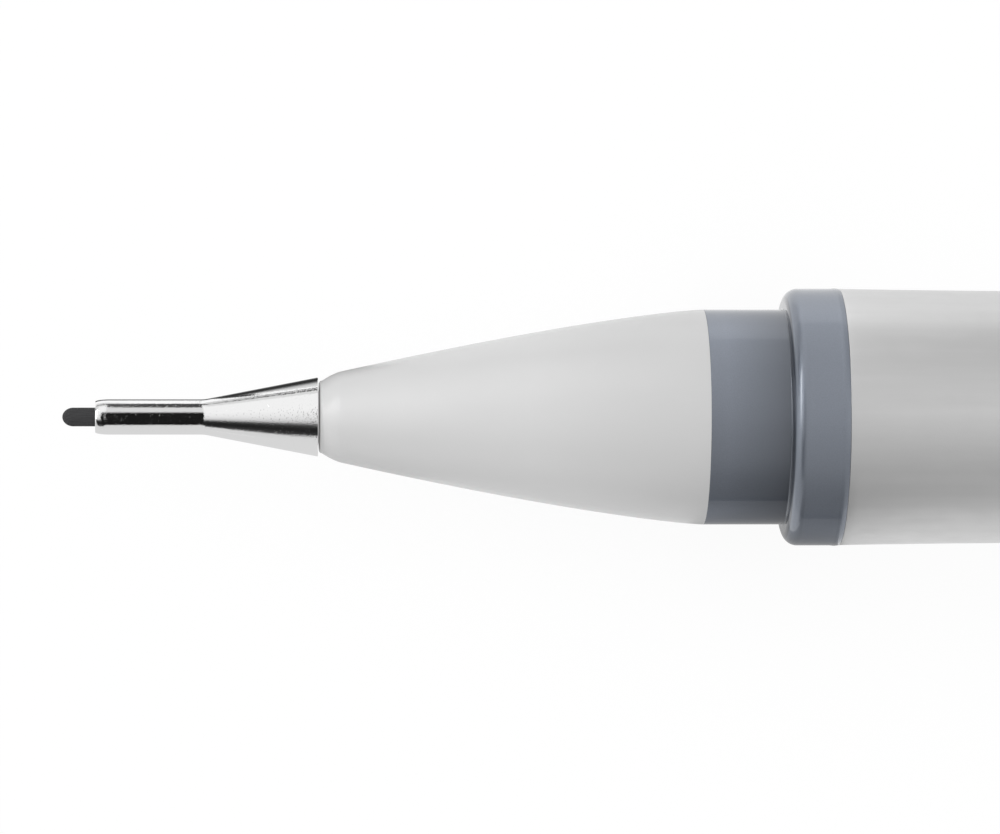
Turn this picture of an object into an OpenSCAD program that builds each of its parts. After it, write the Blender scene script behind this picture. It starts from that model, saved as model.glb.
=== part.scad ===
// Fineliner pen, in millimetres. Its axis lies along X with the point at -X. The origin is on the
// axis in the front face of the flange, where the rim of the cap seats. The cap is posted on the
// tail, and its clip is turned so that clip and cap rest on the same flat surface.

/* [Fibre point] */
// Diameter of the fibre point
nib_d = 0.8; // [0.5:0.05:1.1]
// Length of the point in front of the metal sleeve
nib_exposed = 1.45; // [0.8:0.05:2.5]
// Length of the rounded end of the point
nib_round = 0.47; // [0.2:0.01:0.7]
// Step on the radius from the point up to its stem inside the sleeve
nib_shoulder = 0.1; // [0.05:0.01:0.2]
// Length of the stem that stands out behind its holder
nib_tail = 1.5; // [1:0.1:2.5]

/* [Metal sleeve] */
// Length of the straight tube round the point
sleeve_len = 4.65; // [3:0.05:7]
// Wall of the tube
sleeve_wall = 0.23; // [0.15:0.01:0.35]
// Thickness of the rim that is rolled in at the front
sleeve_lip = 0.3; // [0.15:0.05:0.5]
// Depth of the rounding of the front rim, on the radius
sleeve_edge = 0.08; // [0.04:0.01:0.15]
// Length of the rounding of the front rim, along the tube
sleeve_edge_len = 0.26; // [0.1:0.01:0.5]
// Radius of the hollow curve where the tube opens into the cone
sleeve_fillet = 1.5; // [0.5:0.1:3]
// Length of the cone behind the tube
cone_len = 4.85; // [3.5:0.05:8]
// Wall of the cone at its base
cone_wall = 0.22; // [0.15:0.01:0.35]
// Rounding of the base edge of the cone
cone_edge = 0.1; // [0.05:0.01:0.15]
// Amount by which the cone stands proud of the nose behind it, on the radius
cone_proud = 0.18; // [0.1:0.01:0.3]

/* [Nib holder] */
// Diameter of the holder's shank, which plugs into the nose
shank_d = 2.2; // [1.9:0.05:2.6]
// Length of the shank
shank_len = 8; // [6:0.1:10]
// Chamfer at the rear end of the shank
shank_chamfer = 0.2; // [0.1:0.05:0.4]
// Distance from the mouth of the metal cone back to the front of the holder
holder_inset = 0.8; // [0.4:0.1:1.5]

/* [Nose] */
// Length of the nose from its front face to the seam with the collar
nose_len = 16.4; // [15:0.1:22]
// Wall of the nose round the shank at its front face
nose_lip_wall = 0.4; // [0.3:0.01:0.5]
// Length of the slender lip at the front of the nose
nose_lip_len = 0.55; // [0.3:0.05:0.9]
// Height of the soft step behind the lip, on the radius
nose_step = 0.09; // [0.04:0.01:0.15]
// Length over which the soft step rises
nose_step_len = 0.13; // [0.08:0.01:0.3]
// Rounding of the front edge of the nose
nose_edge = 0.06; // [0.03:0.01:0.1]
// Step on the radius from the front face up to the root of the curved outline
nose_root_step = 0.205; // [0.15:0.005:0.3]
// Fullness of the curved outline, where 1 is a straight cone
nose_bulge = 1.3; // [1.1:0.01:1.6]
// Length of the spigot that joins the nose to the collar
nose_spigot_len = 4.6; // [4:0.1:6]
// Wall of that spigot
nose_spigot_wall = 0.8; // [0.6:0.05:1]
// Depth of the bore for the shank, beyond the shank's end
nose_bore_spare = 0.6; // [0.3:0.1:1.2]

/* [Collar and flange] */
// Length of the collar that the cap slides over
collar_len = 3.45; // [3:0.05:5]
// Wall of the collar
collar_wall = 0.9; // [0.7:0.05:1.1]
// Amount by which the flange stands proud of the barrel, on the radius
flange_proud = 0.1; // [0:0.01:0.3]
// Length of the flange
flange_len = 2.35; // [1.8:0.05:4]
// Hollow fillet between the collar and the front face of the flange
flange_fillet = 0.12; // [0.05:0.01:0.2]
// Length of the rounding of the front edge of the flange, along the axis
flange_round_len = 0.5; // [0.2:0.05:0.8]
// Height of the fine moulding bead at the rear edge of the flange
bead_h = 0.02; // [0.01:0.01:0.05]
// Width of that bead
bead_w = 0.35; // [0.2:0.05:0.5]
// Length of the spigot that goes into the barrel
spigot_len = 10; // [8:0.1:14]
// Wall of that spigot
spigot_wall = 0.85; // [0.8:0.05:1]
// Chamfer at the rear end of the spigot
spigot_chamfer = 0.3; // [0.1:0.05:0.5]

/* [Rubber ring] */
// Thickness of the rubber ring on the spigot
ring_t = 0.6; // [0.5:0.05:0.65]
// Distance from the flange back to the groove of the ring
ring_offset = 4; // [2:0.1:6]
// Spare length of the groove on each side of the ring
groove_spare = 0.1; // [0.05:0.05:0.3]

/* [Feed] */
// Diameter of the fibre feed
feed_d = 2.4; // [2:0.1:2.8]
// Depth to which the feed dips into the ink core
feed_dip = 3.5; // [2:0.1:6]
// Wall of the bush that centres the feed
bush_wall = 0.9; // [0.5:0.05:1]
// Thickness of the front wall of the bush
bush_front = 0.8; // [0.4:0.1:1.2]
// Thickness of the notched rim at the rear of the bush
bush_rim_t = 1; // [0.6:0.1:1.5]
// Number of air notches in that rim
notch_count = 4; // [2:1:8]
// Width of an air notch
notch_w = 0.7; // [0.4:0.05:1]
// Depth of an air notch
notch_depth = 0.45; // [0.2:0.05:0.6]
// Distance from the seam forward to the ledge that carries the rim
ledge_offset = 1; // [0.5:0.1:2]

/* [Ink cartridge] */
// Free space in the barrel between the cartridge and the tail plug
cartridge_room = 13; // [12:0.5:40]
// Wall of the cartridge tube
cartridge_wall = 0.5; // [0.4:0.05:0.7]
// Thickness of the front wall of the cartridge
cartridge_front = 0.8; // [0.5:0.1:1.5]
// Thickness of the film round the ink core
film_t = 0.06; // [0.04:0.01:0.12]
// Space between the front wall and the ink core
core_gap = 0.2; // [0.1:0.1:1]
// Spare depth of the hole in the ink core behind the feed
core_hole_spare = 0.3; // [0.1:0.1:1]
// Length of the rear plug inside the tube
cartridge_plug_len = 3; // [2:0.1:5]
// Thickness of the rear plug's head
cartridge_head_t = 0.8; // [0.5:0.1:1.5]
// Number of fins that centre the rear plug in the barrel
fin_count = 3; // [3:1:6]
// Thickness of a fin
fin_t = 0.7; // [0.4:0.1:1.2]
// Diameter of the air hole in the rear plug
vent_d = 0.8; // [0.4:0.1:1.2]

/* [Barrel] */
// Diameter of the barrel
barrel_d = 10.8; // [10:0.1:13]
// Length of the barrel tube
barrel_len = 82.6; // [60:0.1:110]
// Wall of the barrel tube
barrel_wall = 0.6; // [0.45:0.05:0.75]
// Length over which the barrel flares out to meet the flange
flare_len = 10; // [6:0.5:14]
// Rounding of the barrel's edges
barrel_edge = 0.06; // [0.03:0.01:0.1]

/* [Tail plug] */
// Length of the plug inside the barrel
tail_plug_len = 8; // [6:0.5:9]
// Wall of the plug
tail_wall = 1.1; // [0.8:0.1:1.5]
// Length of the shoulder behind the barrel
shoulder_len = 1.5; // [1:0.1:3]
// Amount by which the shoulder is smaller than the barrel, on the radius
shoulder_inset = 0.2; // [0.16:0.01:0.3]
// Length of the post that the cap is pushed on
post_len = 11; // [8:0.5:12]
// Rounding of the end of the post
post_round = 0.6; // [0.3:0.1:0.8]
// Thickness of the end wall of the post
post_end_t = 1.2; // [0.8:0.1:2]

/* [Cap] */
// Wall of the outer tube
shell_wall = 0.5; // [0.4:0.05:0.6]
// Rounding of the rim
rim_round = 0.15; // [0.05:0.05:0.2]
// Wall of the inner sleeve
liner_wall = 0.35; // [0.25:0.05:0.45]
// Distance from the rim in to the mouth of the inner sleeve
liner_inset = 0.25; // [0.1:0.05:0.6]
// Thickness of the closed end of the inner sleeve
liner_end_t = 1; // [0.6:0.1:1.2]
// Distance from the end of the post to the soft seal when the cap is posted
seal_spare = 1.6; // [1:0.1:3]
// Gap on the radius between the seal's lip and the nose when the pen is capped
seal_lip_gap = 0.09; // [0.05:0.01:0.15]
// Widening of the seal behind its lip, on the radius
seal_relief = 0.2; // [0.1:0.05:0.4]
// Length of the soft lip
seal_lip_len = 0.8; // [0.5:0.1:1.5]
// Space in front of the nib inside the seal when the pen is capped
nib_room = 1.3; // [0.8:0.1:3]
// Thickness of the closed end of the seal
seal_end_t = 1.5; // [0.8:0.1:2]

/* [Crown] */
// Thickness of the crown behind the outer tube
crown_t = 2; // [1.5:0.1:3]
// Length of the crown inside the outer tube
crown_plug_len = 2.8; // [2.6:0.1:3]
// Space between the inner sleeve and the crown
crown_gap = 0.6; // [0.2:0.1:2]
// Rise of the crown's domed end
crown_dome = 0.5; // [0.2:0.1:0.8]
// Radius of the shallow recess in the crown
crown_recess_r = 3.4; // [2:0.1:4]
// Depth of that recess
crown_recess_t = 0.3; // [0.1:0.1:0.6]

/* [Clip] */
// Width of the clip at its root
clip_w = 3.4; // [2.4:0.1:4]
// Width of the clip at its free end
clip_tip_w = 2.8; // [2:0.1:3.4]
// Thickness of the clip
clip_t = 0.5; // [0.3:0.05:0.6]
// Length of the clip from its root to its free end
clip_len = 30; // [20:0.5:34]
// Space between the arm and the cap at the root
clip_gap = 0.9; // [0.7:0.05:1.4]
// Space between the foot and the cap at rest
foot_gap = 0.12; // [0.08:0.01:0.3]
// Bend radius at the root, along the middle of the strip
clip_bend = 0.8; // [0.5:0.05:1]
// Length of the flick in front of the foot
flick_len = 1.6; // [0.8:0.1:3]
// Rise of the flick
flick_rise = 0.55; // [0.2:0.05:0.7]
// Length of the curved run behind the foot
foot_run = 3.4; // [2:0.1:5]
// Share of its height at the root that the arm keeps where that run starts
arm_share = 0.7; // [0.5:0.05:0.9]
// Depth of the root tab inside the outer tube
tab_depth = 1.2; // [0.8:0.1:1.6]
// Distance from the end of the outer tube forward to the middle of the tab
tab_offset = 1.5; // [1.2:0.1:1.6]
// Clearance round the tab in its slot
slot_gap = 0.2; // [0.15:0.01:0.3]

/* [Fits] */
// Gap on the radius between fixed pieces of one body
fit_gap = 0.02; // [0.01:0.005:0.03]
// Gap between faces that only rest on each other
seat_gap = 0.03; // [0.02:0.01:0.08]
// Clearance on the radius of the shank in the nose
nib_slip = 0.03; // [0.02:0.005:0.06]
// Clearance on the radius of the feed in the cartridge's core
feed_slip = 0.04; // [0.02:0.005:0.08]
// Clearance on the radius of the feed in the cartridge's front wall
feed_hole_slip = 0.15; // [0.1:0.01:0.3]
// Clearance on the radius of the cartridge in its socket
cartridge_slip = 0.03; // [0.02:0.005:0.06]
// Clearance on the radius of the spigot in the barrel
section_slip = 0.08; // [0.06:0.005:0.1]
// Clearance on the radius of the rubber ring in the barrel
ring_slip = 0.02; // [0.015:0.005:0.04]
// Clearance on the radius of the cap on the collar and the post
cap_slip = 0.03; // [0.02:0.005:0.06]
// Clearance on the radius of the fins in the barrel
fin_slip = 0.15; // [0.1:0.01:0.3]

/* [Hidden] */

// Smoothness of round shapes, and steps in a quarter bend, the nose curve and the barrel's flare
$fn = 96;
bend_steps = 8;
nose_steps = 28;
flare_steps = 10;
// Overrun of every cut
cut = 0.5;

// Radii of the nib unit, from the inside out
nib_r = nib_d / 2;
stem_r = nib_r + nib_shoulder;
stem_hole_r = stem_r + fit_gap;
sleeve_r = stem_hole_r + sleeve_wall;
shank_r = shank_d / 2;
nose_bore_r = shank_r + nib_slip;
nose_front_r = nose_bore_r + nose_lip_wall;
nose_root_r = nose_front_r + nose_root_step;
cone_r = nose_front_r + cone_proud;
cone_angle = atan((cone_r - sleeve_r) / cone_len);

// Radii of the barrel, the section and the cap, from the outside in
barrel_r = barrel_d / 2;
barrel_bore_r = barrel_r - barrel_wall;
flange_r = barrel_r + flange_proud;
collar_r = flange_r - shell_wall - fit_gap - liner_wall - cap_slip;
collar_bore_r = collar_r - collar_wall;
nose_spigot_r = collar_bore_r - fit_gap;
nose_room_r = nose_spigot_r - nose_spigot_wall;
spigot_r = barrel_bore_r - section_slip;
socket_r = spigot_r - spigot_wall;
ring_mid_r = barrel_bore_r - ring_slip - ring_t / 2;
groove_r = ring_mid_r - ring_t / 2 - fit_gap;

// Radii of the feed and the cartridge
feed_r = feed_d / 2;
bush_bore_r = feed_r + fit_gap;
bush_r = bush_bore_r + bush_wall;
bush_room_r = bush_r + fit_gap;
bush_rim_r = nose_room_r - fit_gap;
cartridge_r = socket_r - cartridge_slip;
cartridge_room_r = cartridge_r - cartridge_wall;
film_r = cartridge_room_r - fit_gap;
core_r = film_r - film_t - fit_gap;

// Radii of the tail plug and the cap
plug_r = barrel_bore_r - fit_gap;
shoulder_r = barrel_r - shoulder_inset;
post_r = collar_r;
post_room_r = post_r - tail_wall;
shell_r = flange_r;
shell_bore_r = shell_r - shell_wall;
liner_r = shell_bore_r - fit_gap;
liner_bore_r = collar_r + cap_slip;
seal_r = liner_bore_r - fit_gap;

// Stations along the axis, from the point backwards
seam_x = -collar_len;
nose_x = seam_x - nose_len;
cone_end_x = nose_x - seat_gap;
cone_x = cone_end_x - cone_len;
sleeve_x = cone_x - sleeve_len;
nib_x = sleeve_x - nib_exposed;
shank_end_x = cone_end_x + shank_len;
nib_end_x = shank_end_x + nib_tail;
nose_bore_x = nose_x + shank_len + nose_bore_spare;
nose_end_x = seam_x + nose_spigot_len;
spigot_end_x = flange_len + spigot_len;
ring_x = flange_len + ring_offset;
ledge_x = seam_x - ledge_offset;
bush_x = nose_bore_x + fit_gap;
feed_x = max(nib_end_x + seat_gap, bush_x + bush_front + fit_gap);
barrel_x = flange_len + seat_gap;
barrel_end = barrel_x + barrel_len;
tail_x = barrel_end - tail_plug_len;
cartridge_x = nose_end_x + seat_gap;
cartridge_end_x = tail_x - cartridge_room - cartridge_head_t - fit_gap;
core_x = cartridge_x + cartridge_front + core_gap;
feed_end_x = core_x + feed_dip;
core_end_x = cartridge_end_x - cartridge_plug_len - fit_gap;
shoulder_end_x = barrel_end + shoulder_len;
post_end_x = shoulder_end_x + post_len;
cap_x = shoulder_end_x + seat_gap;

// Stations of the cap, from its rim
seal_x = post_len + seal_spare;
seal_room_x = nib_room - nib_x;
seal_end_x = seal_room_x + seal_end_t;
liner_end_x = seal_end_x + fit_gap + liner_end_t;
crown_plug_x = liner_end_x + crown_gap;
shell_len = crown_plug_x + crown_plug_len;
crown_end = shell_len + crown_t;
tab_x = shell_len - tab_offset;

// The lip of the seal closes round the nose at its own distance from the rim
seal_lip_r = nose_curve((nose_len + collar_len - seal_x) / nose_len) + seal_lip_gap;
seal_room_r = seal_lip_r + seal_relief;

// The clip: heights of its middle line above the axis, and the turn that lays it on a flat surface
arm_r = shell_r + clip_gap + clip_t / 2;
foot_r = shell_r + foot_gap + clip_t / 2;
clip_top_r = arm_r + clip_t / 2;
foot_x = tab_x - clip_len + flick_len;
clip_drop = asin(shell_r / norm([clip_top_r, clip_w / 2])) - atan(clip_w / 2 / clip_top_r);
clip_turn = 90 + clip_drop;

// Part of an ellipse in an outline of [radius, x] points: 0 degrees points outwards and 90 along +X
function bend(r, x, dr, dx, from, to) =
    [for (k = [0 : bend_steps]) let (a = from + (to - from) * k / bend_steps)
        [r + dr * cos(a), x + dx * sin(a)]];

// Radius of the metal cone's outside, the room inside it, and the nose's curve at a share of its length
function cone_out(x) = sleeve_r + (x - cone_x) * tan(cone_angle);
function cone_in(x) = stem_hole_r + (cone_r - cone_wall - stem_hole_r) * (x - cone_x) / cone_len;
function nose_curve(share) =
    nose_root_r + (collar_r - nose_root_r) * (1 - pow(1 - share, nose_bulge));

// Radius of the barrel at a share of its flare
function flare(share) = barrel_r + (flange_r - barrel_r) * pow(1 - share, 2);

// Outline of a strip that follows a path, with its thickness set square to the path
function along(path, k) = let (step = path[min(k + 1, len(path) - 1)] - path[max(k - 1, 0)])
    step / norm(step);
function beside(path, k, side) = let (way = along(path, k)) path[k] + side * [-way.y, way.x];
function strip(path, t) = concat(
    [for (k = [0 : len(path) - 1]) beside(path, k, t / 2)],
    [for (k = [len(path) - 1 : -1 : 0]) beside(path, k, -t / 2)]);

// A turned solid from an outline of [radius, x] points
module turned(outline) rotate([0, 90, 0]) rotate_extrude() polygon(outline);

// A round rod and a round tube between two stations
module rod(x0, x1, r) translate([x0, 0, 0]) rotate([0, 90, 0]) cylinder(h = x1 - x0, r = r);
module tube(x0, x1, r, bore_r) difference() {
    rod(x0, x1, r);
    rod(x0 - cut, x1 + cut, bore_r);
}

// Places a piece of the cap, posted on the tail
module posted() translate([cap_x, 0, 0]) children();

// Turns a shape drawn above the axis to the clip's side of the cap
module clip_side() rotate([clip_turn, 0, 0]) children();

// Room for the clip's tab, down to a given radius
module tab_room(floor_r) clip_side()
    translate([tab_x - clip_t / 2 - slot_gap, -clip_w / 2 - slot_gap, floor_r])
        cube([clip_t + 2 * slot_gap, clip_w + 2 * slot_gap, shell_r - floor_r + cut]);

module nib() color("dimgray") turned(concat(
    bend(0, nib_x + nib_round, nib_r, nib_round, -90, 0),
    [[nib_r, sleeve_x + sleeve_lip + fit_gap], [stem_r, sleeve_x + sleeve_lip + fit_gap],
     [stem_r, nib_end_x], [0, nib_end_x]]));

module nib_sleeve() {
    fillet_x = cone_x - sleeve_fillet * tan(cone_angle / 2);
    edge_x = cone_end_x - cone_edge;
    color("silver") turned(concat(
        [[nib_r + fit_gap, sleeve_x]],
        bend(sleeve_r - sleeve_edge, sleeve_x + sleeve_edge_len, sleeve_edge, sleeve_edge_len, -90, 0),
        bend(sleeve_r + sleeve_fillet, fillet_x, sleeve_fillet, sleeve_fillet, 180, 180 - cone_angle),
        bend(cone_out(edge_x) - cone_edge / cos(cone_angle), edge_x, cone_edge, cone_edge,
             -cone_angle, 90),
        [[cone_in(cone_end_x), cone_end_x], [stem_hole_r, cone_x],
         [stem_hole_r, sleeve_x + sleeve_lip], [nib_r + fit_gap, sleeve_x + sleeve_lip]]));
}

module nib_holder() {
    front_x = cone_x + holder_inset;
    color("whitesmoke") turned([
        [stem_hole_r, front_x], [cone_in(front_x) - fit_gap, front_x],
        [cone_in(cone_end_x) - fit_gap, cone_end_x], [shank_r, cone_end_x],
        [shank_r, shank_end_x - shank_chamfer], [shank_r - shank_chamfer, shank_end_x],
        [stem_hole_r, shank_end_x]]);
}

module nose_cone() {
    lip_x = nose_x + nose_lip_len;
    lip_share = nose_lip_len / nose_len;
    curve_share = (nose_lip_len + nose_step_len) / nose_len;
    color("gainsboro") turned(concat(
        [[nose_bore_r, nose_x]],
        bend(nose_front_r - nose_edge, nose_x + nose_edge, nose_edge, nose_edge, -90, 0),
        [[nose_curve(lip_share) - nose_step, lip_x]],
        [for (k = [0 : nose_steps]) let (share = curve_share + (1 - curve_share) * k / nose_steps)
            [nose_curve(share), nose_x + nose_len * share]],
        [[nose_spigot_r, seam_x], [nose_spigot_r, nose_end_x], [nose_room_r, nose_end_x],
         [nose_room_r, ledge_x], [bush_room_r, ledge_x], [bush_room_r, nose_bore_x],
         [nose_bore_r, nose_bore_x]]));
}

module section_collar() {
    round_r = collar_r + flange_fillet;
    groove_x0 = ring_x - ring_t / 2 - groove_spare;
    groove_x1 = ring_x + ring_t / 2 + groove_spare;
    color("slategray") difference() {
        turned(concat(
            [[collar_bore_r, seam_x + fit_gap], [collar_r, seam_x + fit_gap]],
            bend(round_r, -flange_fillet, flange_fillet, flange_fillet, 180, 90),
            bend(round_r, flange_round_len, flange_r - round_r, flange_round_len, -90, 0),
            [[flange_r, flange_len - bead_w], [flange_r + bead_h, flange_len - bead_w / 2],
             [flange_r, flange_len], [spigot_r, flange_len],
             [spigot_r, spigot_end_x - spigot_chamfer], [spigot_r - spigot_chamfer, spigot_end_x],
             [socket_r, spigot_end_x], [socket_r, nose_end_x], [collar_bore_r, nose_end_x]]));
        tube(groove_x0, groove_x1, spigot_r + cut, groove_r);
    }
}

module section_seal() color("black") translate([ring_x, 0, 0]) rotate([0, 90, 0])
    rotate_extrude() translate([ring_mid_r, 0]) circle(ring_t / 2);

module wick_holder() color("white") difference() {
    turned([
        [stem_r + feed_hole_slip, bush_x], [bush_r, bush_x],
        [bush_r, ledge_x + fit_gap], [bush_rim_r, ledge_x + fit_gap],
        [bush_rim_r, ledge_x + fit_gap + bush_rim_t], [bush_bore_r, ledge_x + fit_gap + bush_rim_t],
        [bush_bore_r, feed_x - fit_gap], [stem_r + feed_hole_slip, feed_x - fit_gap]]);
    for (k = [0 : notch_count - 1]) rotate([k * 360 / notch_count, 0, 0])
        translate([ledge_x - cut, -notch_w / 2, bush_rim_r - notch_depth])
            cube([bush_rim_t + fit_gap + 2 * cut, notch_w, notch_depth + cut]);
}

module relay_wick() color("darkgray") rod(feed_x, feed_end_x, feed_r);

module cartridge_tube() color("ghostwhite") turned([
    [feed_r + feed_hole_slip, cartridge_x], [cartridge_r, cartridge_x],
    [cartridge_r, cartridge_end_x], [cartridge_room_r, cartridge_end_x],
    [cartridge_room_r, cartridge_x + cartridge_front],
    [feed_r + feed_hole_slip, cartridge_x + cartridge_front]]);

module reservoir_core() color("gray") difference() {
    rod(core_x, core_end_x, core_r);
    rod(core_x - cut, feed_end_x + core_hole_spare, feed_r + feed_slip);
}

module reservoir_film() color("lightblue") tube(core_x, core_end_x, film_r, film_r - film_t);

module cartridge_plug() {
    head_x = cartridge_end_x + fit_gap;
    head_end_x = head_x + cartridge_head_t;
    color("white") difference() {
        union() {
            rod(cartridge_end_x - cartridge_plug_len, head_x + cut, cartridge_room_r - fit_gap);
            rod(head_x, head_end_x, cartridge_r);
            intersection() {
                rod(head_x, head_end_x, barrel_bore_r - fin_slip);
                for (k = [0 : fin_count - 1]) rotate([k * 360 / fin_count, 0, 0])
                    translate([head_x, -fin_t / 2, 0])
                        cube([cartridge_head_t, fin_t, barrel_bore_r]);
            }
        }
        rod(cartridge_end_x - cartridge_plug_len - cut, head_end_x + cut, vent_d / 2);
    }
}

module barrel_tube() color("lightgray") turned(concat(
    [[barrel_bore_r, barrel_x]],
    bend(flange_r - barrel_edge, barrel_x + barrel_edge, barrel_edge, barrel_edge, -90, 0),
    [for (k = [1 : flare_steps]) [flare(k / flare_steps), barrel_x + flare_len * k / flare_steps]],
    bend(barrel_r - barrel_edge, barrel_end - barrel_edge, barrel_edge, barrel_edge, 0, 90),
    [[barrel_bore_r, barrel_end]]));

module tail_plug() {
    shoulder_x = barrel_end + fit_gap;
    color("slategray") difference() {
        turned(concat(
            [[0, tail_x], [plug_r, tail_x], [plug_r, shoulder_x]],
            bend(shoulder_r - rim_round, shoulder_x + rim_round, rim_round, rim_round, -90, 0),
            bend(shoulder_r - rim_round, shoulder_end_x - rim_round, rim_round, rim_round, 0, 90),
            [[post_r, shoulder_end_x]],
            bend(post_r - post_round, post_end_x - post_round, post_round, post_round, 0, 90),
            [[0, post_end_x]]));
        rod(tail_x - cut, post_end_x - post_end_t, post_room_r);
        rod(post_end_x - post_end_t - cut, post_end_x + cut, vent_d / 2);
    }
}

module cap_shell() color("lightgray") posted() difference() {
    turned(concat(
        [[shell_bore_r, 0]],
        bend(shell_r - rim_round, rim_round, rim_round, rim_round, -90, 0),
        bend(shell_r - rim_round, shell_len - rim_round, rim_round, rim_round, 0, 90),
        [[shell_bore_r, shell_len]]));
    tab_room(shell_bore_r - cut);
}

module cap_liner() color("white") posted() difference() {
    rod(liner_inset, liner_end_x, liner_r);
    rod(liner_inset - cut, liner_end_x - liner_end_t, liner_bore_r);
}

module cap_seal() {
    lip_x = seal_x + seal_lip_len;
    color("dimgray") posted() turned([
        [seal_lip_r, seal_x], [seal_r, seal_x], [seal_r, seal_end_x], [0, seal_end_x],
        [0, seal_room_x], [seal_room_r, seal_room_x],
        [seal_room_r, lip_x + seal_relief], [seal_lip_r, lip_x]]);
}

module cap_crown() {
    end_r = shell_r - rim_round;
    face_x = crown_end - crown_dome;
    color("slategray") posted() difference() {
        turned(concat(
            [[0, crown_plug_x], [liner_r, crown_plug_x], [liner_r, shell_len + fit_gap]],
            bend(end_r, shell_len + fit_gap + rim_round, rim_round, rim_round, -90, 0),
            bend(end_r - crown_dome, face_x, crown_dome + rim_round, crown_dome, 0, 90),
            [[crown_recess_r, crown_end], [crown_recess_r, crown_end - crown_recess_t],
             [0, crown_end - crown_recess_t]]));
        tab_room(shell_bore_r - tab_depth - slot_gap);
    }
}

module clip() {
    bend_x = tab_x - clip_bend;
    path = concat(
        [[tab_x, shell_bore_r - tab_depth]],
        [for (k = [0 : bend_steps]) let (a = 90 * k / bend_steps)
            [bend_x + clip_bend * cos(a), arm_r - clip_bend + clip_bend * sin(a)]],
        [for (k = [bend_steps : -1 : 0]) let (t = k / bend_steps)
            [foot_x + foot_run * t, foot_r + (arm_r - foot_r) * arm_share * t * t * (3 - 2 * t)]],
        [for (k = [1 : bend_steps]) let (t = k / bend_steps)
            [foot_x - flick_len * t, foot_r + flick_rise * t * t]]);
    end_x = tab_x - clip_len;
    color("silver") posted() clip_side() intersection() {
        rotate([90, 0, 0]) linear_extrude(clip_w + 2 * cut, center = true) polygon(strip(path, clip_t));
        linear_extrude(clip_top_r + cut) union() {
            translate([end_x + clip_tip_w / 2, 0]) circle(clip_tip_w / 2);
            polygon([[end_x + clip_tip_w / 2, -clip_tip_w / 2], [tab_x - clip_bend, -clip_w / 2],
                     [tab_x + clip_t, -clip_w / 2], [tab_x + clip_t, clip_w / 2],
                     [tab_x - clip_bend, clip_w / 2], [end_x + clip_tip_w / 2, clip_tip_w / 2]]);
        }
    }
}

nib();
nib_sleeve();
nib_holder();
nose_cone();
section_collar();
section_seal();
wick_holder();
relay_wick();
cartridge_tube();
reservoir_core();
reservoir_film();
cartridge_plug();
barrel_tube();
tail_plug();
cap_shell();
cap_liner();
cap_seal();
cap_crown();
clip();
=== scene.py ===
"""Fineliner pen: visible pieces, finishes, floor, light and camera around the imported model."""

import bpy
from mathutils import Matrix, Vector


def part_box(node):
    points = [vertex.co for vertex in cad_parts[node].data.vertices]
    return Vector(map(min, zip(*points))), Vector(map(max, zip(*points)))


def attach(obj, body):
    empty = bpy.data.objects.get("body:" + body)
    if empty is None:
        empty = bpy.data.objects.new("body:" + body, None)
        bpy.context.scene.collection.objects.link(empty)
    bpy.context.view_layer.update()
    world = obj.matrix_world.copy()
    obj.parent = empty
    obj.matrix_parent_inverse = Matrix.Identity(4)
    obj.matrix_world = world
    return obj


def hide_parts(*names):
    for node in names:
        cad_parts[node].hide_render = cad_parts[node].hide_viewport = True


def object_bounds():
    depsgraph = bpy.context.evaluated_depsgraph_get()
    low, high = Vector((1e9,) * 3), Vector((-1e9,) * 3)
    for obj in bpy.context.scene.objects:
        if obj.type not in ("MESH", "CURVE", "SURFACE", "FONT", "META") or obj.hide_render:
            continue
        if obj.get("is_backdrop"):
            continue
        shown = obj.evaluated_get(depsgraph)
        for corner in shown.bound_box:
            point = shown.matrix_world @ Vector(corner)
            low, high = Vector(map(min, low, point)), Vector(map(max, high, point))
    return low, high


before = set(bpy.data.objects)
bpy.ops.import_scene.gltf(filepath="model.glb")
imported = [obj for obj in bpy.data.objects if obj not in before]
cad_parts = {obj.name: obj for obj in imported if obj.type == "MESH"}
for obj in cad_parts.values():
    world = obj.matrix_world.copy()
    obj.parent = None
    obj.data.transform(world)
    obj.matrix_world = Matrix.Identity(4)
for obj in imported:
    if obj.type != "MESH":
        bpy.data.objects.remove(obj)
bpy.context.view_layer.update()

import math

import bmesh
import bpy
from bpy.props import FloatProperty, FloatVectorProperty, IntProperty, PointerProperty
from bpy.types import Operator, Panel, PropertyGroup
from mathutils import Matrix, Vector, noise

bl_info = {
    "name": "Fineliner pen",
    "version": (1, 0, 0),
    "blender": (4, 5, 0),
    "location": "3D View > Sidebar > Pen",
    "description": "Builds the pieces, finishes, floor, light and camera of a fineliner pen",
    "category": "Object",
}

MM = 0.001
MICRON = 0.001 * MM
CLEARANCE = 0.02 * MM
BEVEL = 0.05 * MM
CHAMFER = 0.1 * MM


def reach(name):
    """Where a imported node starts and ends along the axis, and its radius."""
    low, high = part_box(name)
    return low.x, high.x, high.z


def length(name, description, default):
    """A length that the user may change, with its default in millimetres."""
    return FloatProperty(name=name, description=description, default=default * MM, min=0.0,
                         precision=5, unit="LENGTH", subtype="DISTANCE")


def share(name, description, default, high=1.0):
    """A share or a plain factor."""
    return FloatProperty(name=name, description=description, default=default, min=0.0, max=high,
                         precision=3, subtype="FACTOR")


def colour(name, description, default):
    """A linear colour."""
    return FloatVectorProperty(name=name, description=description, default=default, size=3,
                               min=0.0, max=1.0, subtype="COLOR")


def angle(name, description, degrees):
    """An angle, kept in radians."""
    return FloatProperty(name=name, description=description, default=math.radians(degrees),
                         unit="ROTATION", subtype="ANGLE")


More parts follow.
